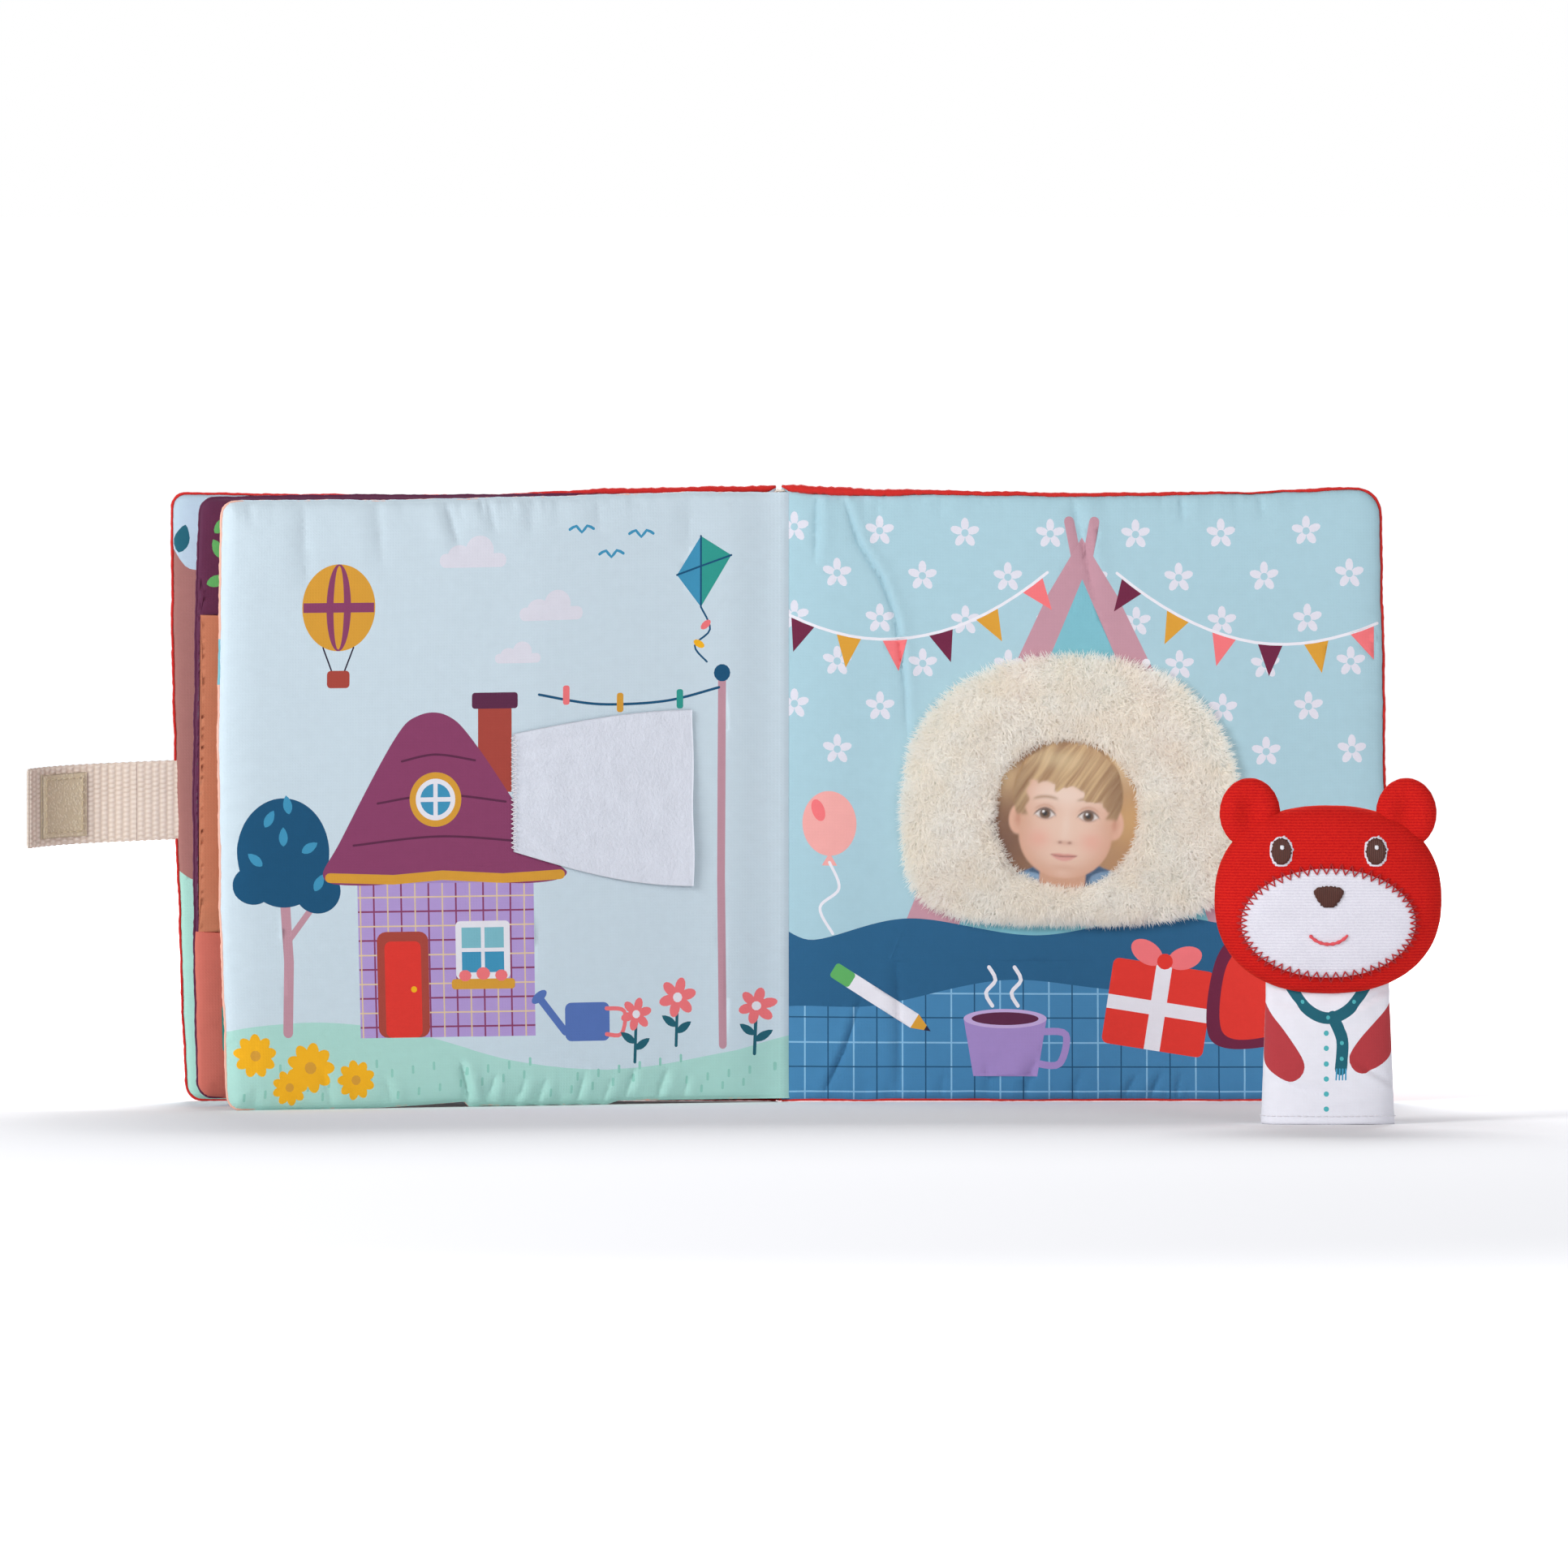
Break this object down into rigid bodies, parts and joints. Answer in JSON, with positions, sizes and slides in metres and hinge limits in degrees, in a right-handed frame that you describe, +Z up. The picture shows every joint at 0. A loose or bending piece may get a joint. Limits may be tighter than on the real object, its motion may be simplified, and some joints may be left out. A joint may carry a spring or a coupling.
{
  "type": "baby activity book",
  "caption": "Padded cloth book that stands open, with leaves, a closing strap, a lift-up cloth tissue, a fur-framed photo window with a sliding card, and a finger puppet.",
  "frame": {"origin": "middle of the whole, book and puppet, on the surface that it stands on", "axes": "+X to the reader's right along the open covers, +Y away from the reader, +Z up"},
  "size_m": [0.439, 0.1768, 0.19],
  "materials": {
    "red_cotton": "matte woven cotton",
    "bark_print": "matte printed polyester",
    "clay_print": "matte printed polyester",
    "plum_print": "matte printed polyester",
    "sky_print": "matte printed polyester",
    "peach_print": "matte printed polyester",
    "bed_print": "matte printed polyester",
    "polyester_wadding": "soft fibre fill",
    "cotton_webbing": "matte coarse weave",
    "hook_tape": "matte hook pile",
    "loop_tape": "matte loop pile",
    "faux_fur": "tufted pile",
    "clear_film": "clear gloss",
    "printed_card": "satin printed card",
    "white_jersey": "matte fine knit",
    "red_velour": "short pile",
    "white_velour": "short pile",
    "white_cotton": "matte woven cotton",
    "brown_thread": "satin embroidery",
    "coral_thread": "satin embroidery"
  },
  "bodies": {
    "front_cover": {"front_cover_outer": "red_cotton", "front_cover_inner": "bark_print", "front_cover_wadding": "polyester_wadding"},
    "leaf_1": {"leaf_1_front": "clay_print", "leaf_1_rear": "plum_print", "leaf_1_wadding": "polyester_wadding"},
    "leaf_2": {"leaf_2_front": "sky_print", "leaf_2_rear": "peach_print", "leaf_2_wadding": "polyester_wadding"},
    "back_cover": {"back_cover_outer": "red_cotton", "back_cover_inner": "bed_print", "back_cover_wadding": "polyester_wadding", "loop_patch": "loop_tape", "window_film": "clear_film", "fur_surround": "faux_fur"},
    "photo_card": {"photo_card": "printed_card"},
    "tissue": {"tissue": "white_jersey"},
    "strap_base": {"strap_base": "cotton_webbing"},
    "strap_tip": {"strap_tip": "cotton_webbing", "hook_patch": "hook_tape"},
    "puppet": {"puppet_sleeve": "white_cotton", "puppet_head": "red_velour", "puppet_left_ear": "red_velour", "puppet_right_ear": "red_velour", "puppet_muzzle": "white_velour", "puppet_left_eye": "brown_thread", "puppet_right_eye": "brown_thread", "puppet_nose": "brown_thread", "puppet_mouth": "coral_thread"}
  },
  "joints": [
    {"name": "opening_1", "type": "hinge", "parent": "front_cover", "child": "leaf_1", "pos_m": [0.01531, 0.08274, 0], "axis": [0, 0, 1], "range_deg": [-6.6, 35]},
    {"name": "opening_2", "type": "hinge", "parent": "leaf_1", "child": "leaf_2", "pos_m": [0.01574, 0.08058, 0], "axis": [0, 0, 1], "range_deg": [-4.4, 60]},
    {"name": "opening_3", "type": "hinge", "parent": "leaf_2", "child": "back_cover", "pos_m": [0.0165, 0.07851, 0], "axis": [0, 0, 1], "range_deg": [-148.5, 12]},
    {"name": "strap_fold", "type": "hinge", "parent": "front_cover", "child": "strap_base", "pos_m": [-0.17339, 0.08384, 0], "axis": [0, 0, 1], "range_deg": [-80, 60]},
    {"name": "strap_curl", "type": "hinge", "parent": "strap_base", "child": "strap_tip", "pos_m": [-0.19842, 0.083, 0], "axis": [0, 0, 1], "range_deg": [-60, 60]},
    {"name": "tissue_lift", "type": "hinge", "parent": "leaf_2", "child": "tissue", "pos_m": [-0.06668, 0.04396, 0], "axis": [0, 0, -1], "range_deg": [0, 150]},
    {"name": "photo_card_slide", "type": "slide", "parent": "back_cover", "child": "photo_card", "axis": [0, 0, 1], "range_m": [0, 0.06]},
    {"name": "puppet_lift", "type": "slide", "parent": "front_cover", "child": "puppet", "axis": [0, 0, 1], "range_m": [0, 0.12]}
  ]
}
